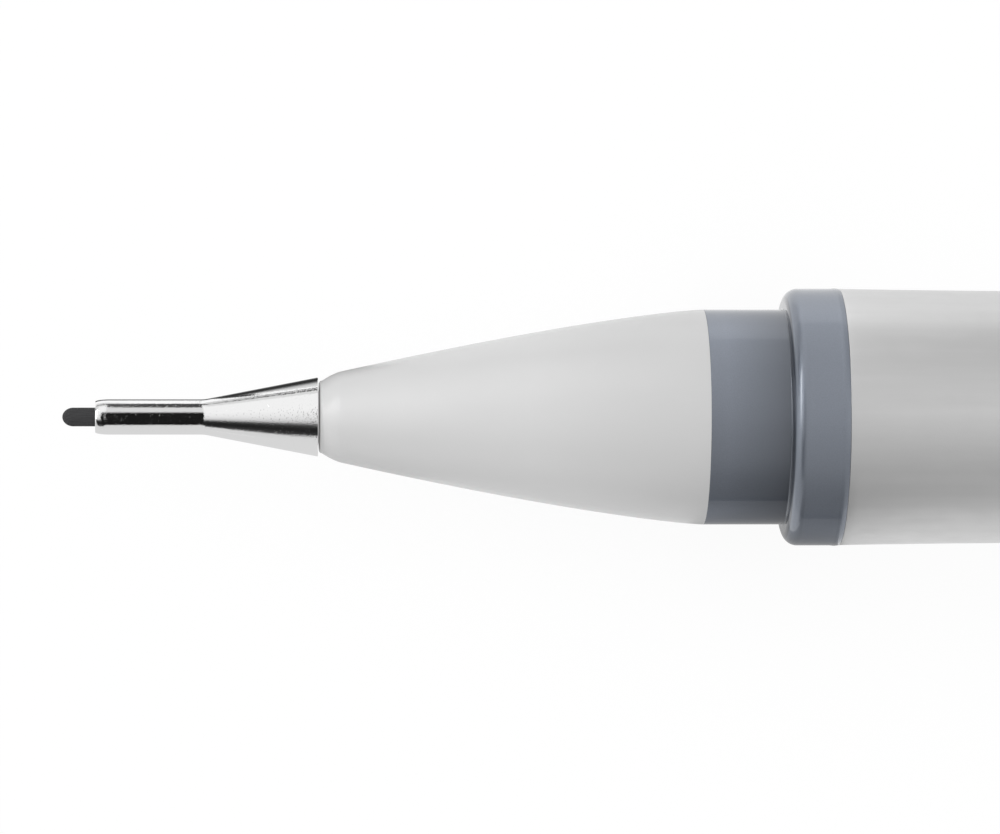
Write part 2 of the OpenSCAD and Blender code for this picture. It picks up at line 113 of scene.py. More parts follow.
class PenSizes(PropertyGroup):
    """Sizes of the visible pieces."""

    segments: IntProperty(name="Segments", description="Faces round a turned piece",
                          default=240, min=24)
    point_wear: length("Point wear", "Length worn off the point", 0.05)
    point_round: length("Point rounding", "Length of the rounded end of the point", 0.47)
    point_radius: length("Point radius", "Radius of the fibre point", 0.4)
    fibre_depth: length("Fibre depth", "Depth of the furrows between the fibres", 0.008)
    sleeve_radius: length("Sleeve radius", "Radius of the metal sleeve", 0.75)
    sleeve_lip: length("Sleeve lip", "Thickness of the rim of the metal sleeve", 0.3)
    sleeve_wall: length("Sleeve wall", "Wall of the metal sleeve", 0.23)
    rim_depth: length("Rim depth", "Rounding of the sleeve's rim on the radius", 0.1)
    rim_length: length("Rim length", "Rounding of the sleeve's rim along the axis", 0.6)
    neck_radius: length("Neck radius", "Hollow curve between sleeve and cone", 1.5)
    cone_length: length("Cone length", "Length of the metal cone", 4.85)
    cone_edge: length("Cone edge", "Rounding of the base edge of the cone", 0.03)
    cone_gap: length("Cone gap", "Shadow gap between the cone and the nose", 0.02)
    shank_radius: length("Shank radius", "Radius of the shank that plugs into the nose", 1.1)
    nose_front: length("Nose front", "Radius of the lip at the front of the nose", 1.55)
    nose_root: length("Nose root", "Radius where the nose's curve starts", 1.735)
    nose_lip: length("Nose lip", "Length of the steeper lip at the front of the nose", 0.63)
    nose_blend: length("Nose blend", "Where that lip has run into the long curve", 0.95)
    nose_edge: length("Nose edge", "Rounding of the front edge of the nose", 0.12)
    nose_fullness: share("Nose fullness", "1 is a straight cone", 1.3, high=2.0)
    collar_radius: length("Collar radius", "Radius of the sunk collar", 4.6)
    flange_fillet: length("Flange fillet", "Hollow fillet in front of the flange", 0.08)
    flange_round: length("Flange rounding", "Rounding of the flange's front rim", 0.6)
    bead_width: length("Bead width", "Width of the bead at the rear of the flange", 0.35)
    bead_height: length("Bead height", "Height of that bead", 0.02)
    flare_length: length("Flare length", "Length of the barrel's flare", 10)
    barrel_radius: length("Barrel radius", "Radius of the barrel behind its flare", 5.4)
    barrel_wall: length("Barrel wall", "Wall of the barrel", 0.6)
    metal_edge: length("Metal edge", "Rounding of the ends of the barrel", 0.03)
    shoulder_length: length("Shoulder", "Length of the tail's shoulder", 1.5)
    rim_round: length("Rim rounding", "Rounding of the rims of cap, crown and tail", 0.15)
    post_round: length("Post rounding", "Rounding of the end of the tail's post", 0.6)
    vent_radius: length("Vent radius", "Radius of the air holes", 0.4)
    shell_wall: length("Shell wall", "Wall of the cap's outer tube", 0.5)
    liner_wall: length("Liner wall", "Wall of the cap's inner sleeve", 0.35)
    liner_end: length("Liner end", "Thickness of the closed end of that sleeve", 1)
    seal_lip: length("Seal lip", "Radius of the soft seal's lip", 3.348)
    seal_relief: length("Seal relief", "Widening of the seal behind its lip", 0.2)
    seal_end: length("Seal end", "Thickness of the closed end of the seal", 1.5)
    crown_dome: length("Crown dome", "Rise of the crown's domed end", 0.5)
    crown_recess: length("Crown recess", "Radius of the recess in the crown", 3.4)
    recess_depth: length("Recess depth", "Depth of that recess", 0.3)
    clip_length: length("Clip length", "From the root to the free end", 30)
    clip_root_width: length("Clip root width", "Width of the clip at its root", 3.4)
    clip_tip_width: length("Clip tip width", "Width of the clip at its free end", 2.8)
    clip_thickness: length("Clip thickness", "Thickness of the clip", 0.5)
    clip_gap: length("Clip gap", "Space between the arm and the cap at the root", 0.9)
    foot_gap: length("Foot gap", "Space between the foot and the cap", 0.12)
    clip_bend: length("Clip bend", "Bend radius at the root", 0.8)
    flick_length: length("Flick length", "Length of the flick in front of the foot", 1.6)
    flick_rise: length("Flick rise", "Rise of that flick", 0.55)
    foot_run: length("Foot run", "Length of the curved run behind the foot", 3.4)
    arm_share: share("Arm share", "Height that the arm keeps where that run starts", 0.7)
    tab_depth: length("Tab depth", "Depth of the clip's tab inside the cap's tube", 1.2)
    tab_offset: length("Tab offset", "From the tube's end to the middle of the tab", 1.5)
    slot_gap: length("Slot gap", "Clearance round the tab in its slot", 0.2)
    clip_turn: angle("Clip turn", "Turn of the clip about the axis, from straight up", 126.8699)
    clip_edge: length("Clip edge", "Rounding of the edges of the clip", 0.12)


class PenFinish(PropertyGroup):
    """Colours of the finishes."""

    fibre: colour("Fibre", "Dark grey fibre of the point", (0.045, 0.045, 0.047))
    steel: colour("Steel", "Bright steel of sleeve and clip", (0.95, 0.95, 0.95))
    nose: colour("Nose", "Pale grey moulding of the nose", (0.8, 0.8, 0.8))
    collar: colour("Collar", "Blue-grey lacquer of collar, tail and crown", (0.214, 0.238, 0.282))
    metal: colour("Metal", "Anodised barrel and cap", (0.6, 0.6, 0.6))
    white: colour("White", "White inner mouldings", (0.78, 0.78, 0.76))
    tube: colour("Tube", "Milky tube of the cartridge", (0.80, 0.82, 0.83))
    ink: colour("Ink", "Ink-soaked fibre", (0.018, 0.018, 0.022))
    rubber: colour("Rubber", "Black rubber", (0.018, 0.018, 0.018))
    seal: colour("Seal", "Soft seal in the cap", (0.10, 0.10, 0.105))


class PenStudio(PropertyGroup):
    """Floor, lamp and camera."""

    floor_colour: colour("Floor", "Colour of the floor", (0.9, 0.9, 0.9))
    floor_shadow: share("Floor shadow", "Share of the floor's white that shadows take", 0.1)
    focal_length: FloatProperty(name="Focal length", description="Camera's focal length in mm",
                                default=220.7, min=1.0)
    camera_distance: length("Camera distance", "From the lens to the pen's axis", 262)
    camera_aim: FloatProperty(name="Aim", description="Where the camera looks, along the axis",
                              default=-12.116 * MM, unit="LENGTH", subtype="DISTANCE")
    camera_yaw: angle("Yaw", "Turn of the camera towards the point", 2.8487)
    key_power: FloatProperty(name="Key", description="Power of the soft key lamp in watts",
                             default=0.9, min=0.0, subtype="POWER")


def add_object(name, data):
    """An object in the scene."""
    made = bpy.data.objects.new(name, data)
    bpy.context.scene.collection.objects.link(made)
    return made


def put(tree, value, socket):
    """Links an output to a socket, or sets the socket to a value."""
    if isinstance(value, bpy.types.NodeSocket):
        tree.links.new(value, socket)
    else:
        socket.default_value = value


def node(tree, kind, *sources, **inputs):
    """A node whose first inputs are linked in their order, and others linked or set by name."""
    made = tree.nodes.new(kind)
    for source, socket in zip(sources, made.inputs):
        tree.links.new(source, socket)
    for name, value in inputs.items():
        put(tree, value, made.inputs[name.replace("_", " ")])
    return made


def bare_tree(owner):
    """The empty node tree of a material or a world."""
    owner.use_nodes = True
    owner.node_tree.nodes.clear()
    return owner.node_tree


def arc(x, r, run, rise, start, end, steps=14):
    """Part of an ellipse in an outline: 0 degrees points outwards and 90 along +X."""
    turns = [math.radians(start + (end - start) * k / steps) for k in range(steps + 1)]
    return [(x + run * math.sin(a), r + rise * math.cos(a)) for a in turns]


def front_edge(x, r, size, steps):
    """Rounding of the outer edge of a front face at x."""
    return arc(x + size, r - size, size, size, -90, 0, steps)


def rear_edge(x, r, size, steps):
    """Rounding of the outer edge of a rear face at x."""
    return arc(x - size, r - size, size, size, 0, 90, steps)


def bend(start, through, end, steps=12):
    """Points of a soft bend between two points, pulled towards a third, without its start."""
    return [tuple((1 - t) ** 2 * a + 2 * t * (1 - t) * b + t * t * c
                  for a, b, c in zip(start, through, end))
            for t in (k / steps for k in range(1, steps + 1))]


def keep(piece, body, nodes, finish):
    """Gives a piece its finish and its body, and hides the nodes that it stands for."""
    piece.data.materials.clear()
    piece.data.materials.append(finish)
    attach(piece, body)
    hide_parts(*nodes)


def crease(mesh):
    """Smooth faces, with sharp edges where they turn by more than 30 degrees."""
    mesh.shade_smooth()
    mesh.set_sharp_from_angle(angle=math.radians(30))


def make_object(name, bm):
    """An object from a finished bmesh."""
    bmesh.ops.recalc_face_normals(bm, faces=bm.faces)
    mesh = bpy.data.meshes.new(name)
    bm.to_mesh(mesh)
    bm.free()
    crease(mesh)
    return add_object(name, mesh)


def cut_out(piece, cutter):
    """Takes a cutter's space away from a piece."""
    cut = piece.modifiers.new("cut", "BOOLEAN")
    cut.operation, cut.solver, cut.object = "DIFFERENCE", "EXACT", cutter
    view = bpy.context.evaluated_depsgraph_get()
    mesh = bpy.data.meshes.new_from_object(piece.evaluated_get(view))
    piece.modifiers.clear()
    piece.data = mesh
    bpy.data.objects.remove(cutter)
    crease(mesh)


def turned(name, outline, relief=None):
    """A turned piece from (x, radius) points, closed on itself unless it ends on the axis."""
    count = bpy.context.scene.pen_sizes.segments
    turns = [2 * math.pi * k / count for k in range(count)]
    bm = bmesh.new()
    rings = []
    for x, r in outline:
        if r < MICRON:
            rings.append([bm.verts.new((x, 0.0, 0.0))])
            continue
        ring = []
        for a in turns:
            out = r + relief(x, a) if relief else r
            ring.append(bm.verts.new((x, out * math.cos(a), out * math.sin(a))))
        rings.append(ring)
    pairs = list(zip(rings, rings[1:]))
    if len(rings[0]) > 1 and len(rings[-1]) > 1:
        pairs.append((rings[-1], rings[0]))
    for one, two in pairs:
        if len(one) == 1 and len(two) == 1:
            continue
        for k in range(count):
            n = (k + 1) % count
            corners = [one[k % len(one)], one[n % len(one)], two[n % len(two)], two[k % len(two)]]
            bm.faces.new(list(dict.fromkeys(corners)))
    return make_object(name, bm)


class Finish:
    """A material in the making. Its textures lie in the pen's own space, sized in metres."""

    def __init__(self, name, base, roughness, metallic=0.0, **sockets):
        self.base = base
        self.material = bpy.data.materials.new(name)
        self.material.use_nodes = True
        self.tree = self.material.node_tree
        self.shader = self.tree.nodes["Principled BSDF"]
        sockets.update(Base_Color=(*base, 1.0), Roughness=roughness, Metallic=metallic)
        for socket, value in sockets.items():
            self.shader.inputs[socket.replace("_", " ")].default_value = value
        self.place = node(self.tree, "ShaderNodeTexCoord").outputs["Object"]
        self.normal = None

    def feed(self, source, socket):
        """Links an output to one of the shader's inputs."""
        self.tree.links.new(source, self.shader.inputs[socket])

    def grain(self, size, detail=2.0, roughness=0.5):
        """Noise whose features have the given sizes along X, Y and Z."""
        scale = node(self.tree, "ShaderNodeVectorMath", self.place)
        scale.operation = "MULTIPLY"
        scale.inputs[1].default_value = [1 / width for width in size]
        return node(self.tree, "ShaderNodeTexNoise", Vector=scale.outputs[0], Scale=1.0,
                    Detail=detail, Roughness=roughness).outputs["Fac"]

    def range(self, source, low, high, start=0.3, end=0.7):
        """Stretches a noise or a place to a range of values."""
        return node(self.tree, "ShaderNodeMapRange", Value=source, From_Min=start, From_Max=end,
                    To_Min=low, To_Max=high).outputs["Result"]

    def tint(self, source, one, two):
        """A colour between two opaque ones, by a value from 0 to 1."""
        made = node(self.tree, "ShaderNodeMix", Factor=source)
        made.data_type = "RGBA"
        for socket, value in ((made.inputs[6], one), (made.inputs[7], two)):
            put(self.tree, value, socket)
        return made.outputs[2]

    def mottle(self, source, dark, light):
        """The base colour times a factor that a noise moves between two."""
        return self.tint(self.range(source, 0, 1), scaled(self.base, dark), scaled(self.base, light))

    def along(self, start, end):
        """0 in front of a stretch of the pen's axis, 1 behind it, and rising between."""
        place = node(self.tree, "ShaderNodeSeparateXYZ", self.place).outputs["X"]
        return self.range(place, 0, 1, start, end)

    def bump(self, source, depth):
        """Adds a relief of the given depth to what the shader already has."""
        made = node(self.tree, "ShaderNodeBump", Height=source, Distance=depth, Strength=1.0)
        if self.normal:
            self.tree.links.new(self.normal, made.inputs["Normal"])
        self.normal = made.outputs["Normal"]
        self.feed(self.normal, "Normal")


def scaled(base, factor):
    """A colour made lighter or darker, and opaque."""
    return [*(min(1.0, c * factor) for c in base), 1.0]


def fibre_finish(base):
    """Bonded fibre: furrows along the point, a dusty surface and lighter strands."""
    made = Finish("fibre_tip", base, 0.8, Specular_IOR_Level=0.3)
    strands = made.grain((0.6 * MM, 0.05 * MM, 0.05 * MM), detail=3)
    dust = made.grain((0.04 * MM,) * 3)
    made.feed(made.mottle(strands, 0.8, 1.3), "Base Color")
    made.feed(made.range(dust, 0.7, 0.9), "Roughness")
    made.bump(strands, 6 * MICRON)
    made.bump(dust, 3 * MICRON)
    return made.material


def steel_finish(name, base, rough=0.04):
    """Polished steel: fine turning marks, an even haze of polishing and a few small pits."""
    made = Finish(name, base, rough, metallic=1.0)
    marks = made.grain((0.012 * MM, 2 * MM, 2 * MM), detail=3)
    haze = made.grain((0.045 * MM,) * 3, detail=0)
    pits = made.range(made.grain((0.06 * MM,) * 3, detail=0), 0, 1, 0.68, 0.78)
    wear = made.grain((0.6 * MM,) * 3)
    made.feed(made.range(wear, rough * 0.8, rough * 1.3), "Roughness")
    made.bump(haze, 1.5 * MICRON)
    made.bump(pits, 1 * MICRON)
    made.bump(marks, 0.15 * MICRON)
    return made.material


def nose_finish(base):
    """Satin moulding: fine spark-eroded grain, faint flow clouds, and painted shade that darkens the
    rear towards the collar.
    """
    made = Finish("nose_plastic", base, 0.42, IOR=1.5, Coat_Weight=0.5, Coat_Roughness=0.25)
    cloud = made.grain((6 * MM, 3 * MM, 3 * MM), detail=3)
    skin = made.grain((0.09 * MM,) * 3, detail=3)
    # Painted shade: the base colour darkens over the rear of the nose, towards the collar.
    rear = made.along(-11 * MM, -3 * MM)
    made.feed(made.tint(rear, made.mottle(cloud, 0.985, 1.015), scaled(base, 0.86)), "Base Color")
    made.feed(made.range(skin, 0.38, 0.46), "Roughness")
    made.bump(skin, 1.5 * MICRON)
    return made.material


def lacquer_finish(base):
    """Blue-grey lacquer, metal flakes under a gloss coat, with painted shade on the collar towards
    the flange and a painted highlight on the flange's front edge.
    """
    made = Finish("collar_plastic", base, 0.4, metallic=0.85, Coat_Weight=1.0,
                  Coat_Roughness=0.03, Coat_IOR=1.5, Specular_Tint=(0.35, 0.36, 0.38, 1.0))
    flakes = made.grain((0.05 * MM,) * 3, detail=1)
    ripple = made.grain((1.6 * MM, 0.9 * MM, 0.9 * MM))
    flaked = made.mottle(flakes, 0.96, 1.04)
    # Painted shade: the collar's colour darkens towards the flange, and fully over its last 0.3 mm.
    collar = made.tint(made.along(-2.7 * MM, -0.3 * MM), flaked, scaled(base, 0.58))
    # Painted highlight: a lighter band on the flange's front rounding, from 0.07 to 0.2 mm behind the
    # fillet.
    flange = made.tint(made.along(0.12 * MM, 0.2 * MM), scaled(base, 1.1), flaked)
    # The painted shade runs on through the fillet, and the painted highlight starts just behind it.
    made.feed(made.tint(made.along(0.07 * MM, 0.1 * MM), collar, flange), "Base Color")
    made.feed(made.range(ripple, 0.38, 0.42), "Roughness")
    made.bump(flakes, 0.3 * MICRON)
    return made.material


def anodised_finish(name, base):
    """Blasted and anodised aluminium: fine dimples, soft streaks and a mottled sheen."""
    made = Finish(name, base, 0.4, metallic=1.0)
    blast = made.grain((0.05 * MM,) * 3, detail=3, roughness=0.6)
    sheen = made.grain((1.1 * MM, 0.7 * MM, 0.7 * MM), detail=4)
    streak = made.grain((9 * MM, 0.5 * MM, 0.5 * MM))
    made.feed(made.mottle(streak, 0.98, 1.02), "Base Color")
    made.feed(made.range(sheen, 0.36, 0.44), "Roughness")
    made.bump(blast, 2.5 * MICRON)
    return made.material


def moulded_finish(name, base):
    """Plain technical moulding: eroded skin and faint flow clouds."""
    made = Finish(name, base, 0.45)
    skin = made.grain((0.12 * MM,) * 3, detail=3)
    cloud = made.grain((4 * MM, 2 * MM, 2 * MM))
    made.feed(made.mottle(cloud, 0.96, 1.03), "Base Color")
    made.feed(made.range(skin, 0.3825, 0.5175), "Roughness")
    made.bump(skin, 2 * MICRON)
    return made.material


def rubber_finish(name, base):
    """Rubber: bloom in patches and a fine matte skin."""
    made = Finish(name, base, 0.65, Specular_IOR_Level=0.35)
    bloom = made.grain((0.8 * MM,) * 3, detail=4)
    skin = made.grain((0.06 * MM,) * 3)
    made.feed(made.mottle(bloom, 1, 1.5), "Base Color")
    made.feed(made.range(bloom, 0.55, 0.75), "Roughness")
    made.bump(skin, 3 * MICRON)
    return made.material


def ink_finish(name, base):
    """Fibre bundle soaked with ink: strands along the axis, wet in patches."""
    made = Finish(name, base, 0.6, Specular_IOR_Level=0.5)
    strands = made.grain((5 * MM, 0.08 * MM, 0.08 * MM), detail=4)
    wet = made.grain((1.5 * MM, 0.6 * MM, 0.6 * MM))
    made.feed(made.mottle(strands, 0.6, 2.2), "Base Color")
    made.feed(made.range(wet, 0.35, 0.8), "Roughness")
    made.bump(strands, 15 * MICRON)
    return made.material


def clear_finish(name, base, rough, clearness):
    """Milky or clear plastic that lets what is inside show through."""
    made = Finish(name, base, rough, IOR=1.45, Transmission_Weight=clearness)
    skin = made.grain((0.4 * MM, 0.15 * MM, 0.15 * MM), detail=3)
    made.feed(made.mottle(skin, 0.97, 1), "Base Color")
    made.feed(made.range(skin, rough * 0.8, rough * 1.2), "Roughness")
    made.bump(skin, 1 * MICRON)
    return made.material


def dress(name, finish):
    """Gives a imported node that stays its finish."""
    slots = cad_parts[name].data.materials
    slots.clear()
    slots.append(finish)


class PEN_OT_point(Operator):
    """Fibre point with its furrows, worn slightly at the end"""

    bl_idname = "pen.point"
    bl_label = "Fibre point"

    def execute(self, context):
        sizes = context.scene.pen_sizes
        start, end, stem = reach("nib")
        start += sizes.point_wear
        shoulder = reach("nib_sleeve")[0] + sizes.sleeve_lip + CLEARANCE
        dome = arc(start + sizes.point_round, 0.0, sizes.point_round, sizes.point_radius,
                   -90, 0, 20)
        shank = [(dome[-1][0] + (shoulder - dome[-1][0]) * k / 12, sizes.point_radius)
                 for k in range(1, 13)]
        outline = [(start, 0.0)] + dome[1:] + shank + [(shoulder, stem), (end, stem), (end, 0.0)]

        def furrows(x, a):
            spot = Vector((x / (0.5 * MM), 9 * math.cos(a), 9 * math.sin(a)))
            return -sizes.fibre_depth * abs(noise.noise(spot)) if x < shoulder else 0.0

        keep(turned("fibre_point", outline, furrows), "nib_unit", ["nib"],
             fibre_finish(context.scene.pen_finish.fibre))
        return {"FINISHED"}


class PEN_OT_sleeve(Operator):
    """Bright steel sleeve and cone in one drawn piece, with the plastic holder inside"""

    bl_idname = "pen.sleeve"
    bl_label = "Metal sleeve"

    def execute(self, context):
        sizes = context.scene.pen_sizes
        front, base, base_r = reach("nib_sleeve")
        base -= sizes.cone_gap
        cone = base - sizes.cone_length
        slope = math.atan2(base_r - sizes.sleeve_radius, sizes.cone_length)
        neck = cone - sizes.neck_radius * math.tan(slope / 2)
        edge = base - sizes.cone_edge
        edge_r = sizes.sleeve_radius + (edge - cone) * math.tan(slope)
        bore = sizes.point_radius + CLEARANCE
        inner = sizes.sleeve_radius - sizes.sleeve_wall
        turn = math.degrees(slope)
        outline = (
            [(front + sizes.sleeve_lip, bore), (front + BEVEL, bore), (front, bore + 0.04 * MM)]
            + arc(front + sizes.rim_length, sizes.sleeve_radius - sizes.rim_depth,
                  sizes.rim_length, sizes.rim_depth, -90, 0, 24)
            + arc(neck, sizes.sleeve_radius + sizes.neck_radius, sizes.neck_radius,
                  sizes.neck_radius, 180, 180 - turn)
            + arc(edge, edge_r - sizes.cone_edge / math.cos(slope), sizes.cone_edge,
                  sizes.cone_edge, -turn, 90)
            + [(base, base_r - sizes.sleeve_wall), (cone, inner), (front + sizes.sleeve_lip, inner)])
        finish = context.scene.pen_finish
        keep(turned("steel_sleeve", outline), "nib_unit", ["nib_sleeve"],
             steel_finish("bright_steel", finish.steel))
        start, end, mouth = reach("nib_holder")
        shank = sizes.shank_radius
        slim = inner + (mouth - inner) * (start - cone) / sizes.cone_length
        holder = ([(start, inner), (start, slim), (base, mouth), (base, shank)]
                  + rear_edge(end, shank, 0.2 * MM, 6) + [(end, inner)])
        keep(turned("nib_holder_shank", holder), "nib_unit", ["nib_holder"],
             moulded_finish("holder_plastic", finish.white))
        return {"FINISHED"}


class PEN_OT_nose(Operator):
    """Satin pale nose with its steeper lip and full curve"""

    bl_idname = "pen.nose"
    bl_label = "Nose"

    def execute(self, context):
        sizes = context.scene.pen_sizes
        front, end, _ = reach("nose_cone")
        seam = reach("section_collar")[0]
        run = seam - front

        def curve(part):
            return sizes.nose_root + (sizes.collar_radius - sizes.nose_root) * (
                1 - max(0.0, 1 - part) ** sizes.nose_fullness)

        lip, stop = sizes.nose_lip / run, sizes.nose_blend / run
        pull = curve(stop) - (curve(stop + 0.001) - curve(stop)) / 0.001 * (stop - lip)
        bore, ledge = sizes.shank_radius + 0.03 * MM, seam - 1 * MM
        deep, socket, room, bush = front + 8.6 * MM, 3.68 * MM, 2.88 * MM, 2.14 * MM
        outline = (
            [(front, bore)]
            + front_edge(front, sizes.nose_front, sizes.nose_edge, 10)
            + bend((front + sizes.nose_edge, sizes.nose_front), (front + run * lip, pull),
                   (front + run * stop, curve(stop)))
            + [(front + run * part, curve(part))
               for part in (stop + (1 - stop) * k / 90 for k in range(1, 91))]
            + [(seam, socket), (end, socket), (end, room), (ledge, room), (ledge, bush),
               (deep, bush), (deep, bore)])
        keep(turned("nose", outline), "section", ["nose_cone"],
             nose_finish(context.scene.pen_finish.nose))
        return {"FINISHED"}


class PEN_OT_collar(Operator):
    """Blue-grey collar and flange with the spigot, rubber ring, bush and feed behind them"""

    bl_idname = "pen.collar"
    bl_label = "Collar and flange"

    def execute(self, context):
        sizes = context.scene.pen_sizes
        finish = context.scene.pen_finish
        seam, end, _ = reach("section_collar")
        rear = reach("barrel_tube")[0] - 5 * MICRON
        flange = reach("cap_shell")[2]
        root = sizes.collar_radius + sizes.flange_fillet
        face = flange - sizes.flange_round
        spigot, socket, bore, groove = 4.72 * MM, 3.87 * MM, 3.7 * MM, 4.16 * MM
        ring_start, ring_end, ring_out = reach("section_seal")
        groove_start, groove_end = ring_start - 0.1 * MM, ring_end + 0.1 * MM
        step = reach("nose_cone")[1]
        bead = [(rear - sizes.bead_width * (1 - k / 8),
                 flange + sizes.bead_height * math.sin(math.pi * k / 8)) for k in range(8)]
        outline = (
            [(seam, bore)]
            + front_edge(seam, sizes.collar_radius, 0.02 * MM, 5)
            + arc(-sizes.flange_fillet, root, sizes.flange_fillet, sizes.flange_fillet, 180, 90, 10)
            + arc(sizes.flange_round, face, sizes.flange_round, flange - face, -90, 0, 40)
            + bead
            + [(rear, flange - 5 * MICRON), (rear, spigot), (groove_start, spigot),
               (groove_start, groove), (groove_end, groove), (groove_end, spigot)]
            + rear_edge(end, spigot, 0.3 * MM, 8)
            + [(end, socket), (step, socket), (step, bore)])
        keep(turned("collar_and_flange", outline), "section", ["section_collar"],
             lacquer_finish(finish.collar))
        thick = (ring_end - ring_start) / 2
        middle = (ring_start + ring_end) / 2
        keep(turned("rubber_ring", arc(middle, ring_out - thick, thick, thick, 0, 345, 23)),
             "section", ["section_seal"], rubber_finish("black_rubber", finish.rubber))
        start, end, radius = reach("relay_wick")
        wick = ([(start, 0.0)] + front_edge(start, radius, 0.1 * MM, 6)
                + [(start + (end - start) * k / 40, radius) for k in range(1, 40)]
                + rear_edge(end, radius, 0.4 * MM, 8) + [(end, 0.0)])
        keep(turned("feed", wick, self.furrows), "section", ["relay_wick"],
             ink_finish("feed_fibre", finish.ink))
        dress("wick_holder", moulded_finish("bush_plastic", finish.white))
        return {"FINISHED"}

    @staticmethod
    def furrows(x, a):
        """Furrows between the fibres of the feed."""
        spot = Vector((x / (3 * MM), 7 * math.cos(a), 7 * math.sin(a)))
        return -0.018 * MM * abs(noise.noise(spot))


class PEN_OT_cartridge(Operator):
    """Milky ink cartridge with its fibre core, film and vented plug"""

    bl_idname = "pen.cartridge"
    bl_label = "Ink cartridge"

    def execute(self, context):
        finish = context.scene.pen_finish
        start, end, radius = reach("cartridge_tube")
        bore, hole, floor = radius - 0.5 * MM, 1.35 * MM, start + 0.8 * MM
        outline = ([(start + CHAMFER, hole), (start, hole + CHAMFER)]
                   + front_edge(start, radius, 0.35 * MM, 10)
                   + rear_edge(end, radius, 0.08 * MM, 6)
                   + [(end, bore), (floor, bore), (floor, hole)])
        keep(turned("cartridge", outline), "cartridge", ["cartridge_tube"],
             clear_finish("cartridge_plastic", finish.tube, 0.35, 0.35))
        dress("reservoir_core", ink_finish("ink_fibre", finish.ink))
        dress("reservoir_film", clear_finish("film", (0.9, 0.92, 0.94), 0.12, 0.95))
        dress("cartridge_plug", moulded_finish("vent_plastic", finish.white))
        return {"FINISHED"}


class PEN_OT_barrel(Operator):
    """Anodised barrel with its flared mouth, and the tail plug with the cap's post"""

    bl_idname = "pen.barrel"
    bl_label = "Barrel and tail"

    def execute(self, context):
        sizes = context.scene.pen_sizes
        finish = context.scene.pen_finish
        front, end, mouth = reach("barrel_tube")
        edge, radius = sizes.metal_edge, sizes.barrel_radius
        bore = radius - sizes.barrel_wall
        flare = [(front + sizes.flare_length * k / 24, radius + (mouth - radius) * (1 - k / 24) ** 2)
                 for k in range(1, 25)]
        outline = (
            [(front, bore + BEVEL)]
            + front_edge(front, mouth, edge, 8)
            + flare
            + [(front + (end - front) * k / 8, radius) for k in range(2, 8)]
            + rear_edge(end, radius, edge, 8)
            + [(end, bore), (front + BEVEL, bore)])
        keep(turned("barrel", outline), "barrel", ["barrel_tube"],
             anodised_finish("barrel_metal", finish.metal))
        self.add_tail(sizes, end)
        return {"FINISHED"}

    def add_tail(self, sizes, end):
        """Plug in the barrel, its shoulder, and the hollow post with an air hole."""
        start, stop, shoulder = reach("tail_plug")
        plug, post, room = 4.78 * MM, sizes.collar_radius, 3.5 * MM
        rim, vent = sizes.rim_round, sizes.vent_radius
        ledge = end + sizes.shoulder_length
        wall = stop - 1.2 * MM
        fillet = 0.1 * MM
        outline = (
            [(start + CHAMFER, room), (start, room + CHAMFER), (start, plug - 0.2 * MM),
             (start + 0.2 * MM, plug), (end + CLEARANCE, plug)]
            + front_edge(end + CLEARANCE, shoulder, rim, 10)
            + rear_edge(ledge, shoulder, rim, 10)
            + arc(ledge + fillet, post + fillet, fillet, fillet, -90, -180, 6)
            + rear_edge(stop, post, sizes.post_round, 16)
            + arc(stop - CHAMFER, vent + CHAMFER, CHAMFER, CHAMFER, 90, 180, 5)
            + [(wall, vent), (wall, room)])
        keep(turned("tail", outline), "barrel", ["tail_plug"],
             bpy.data.materials["collar_plastic"])


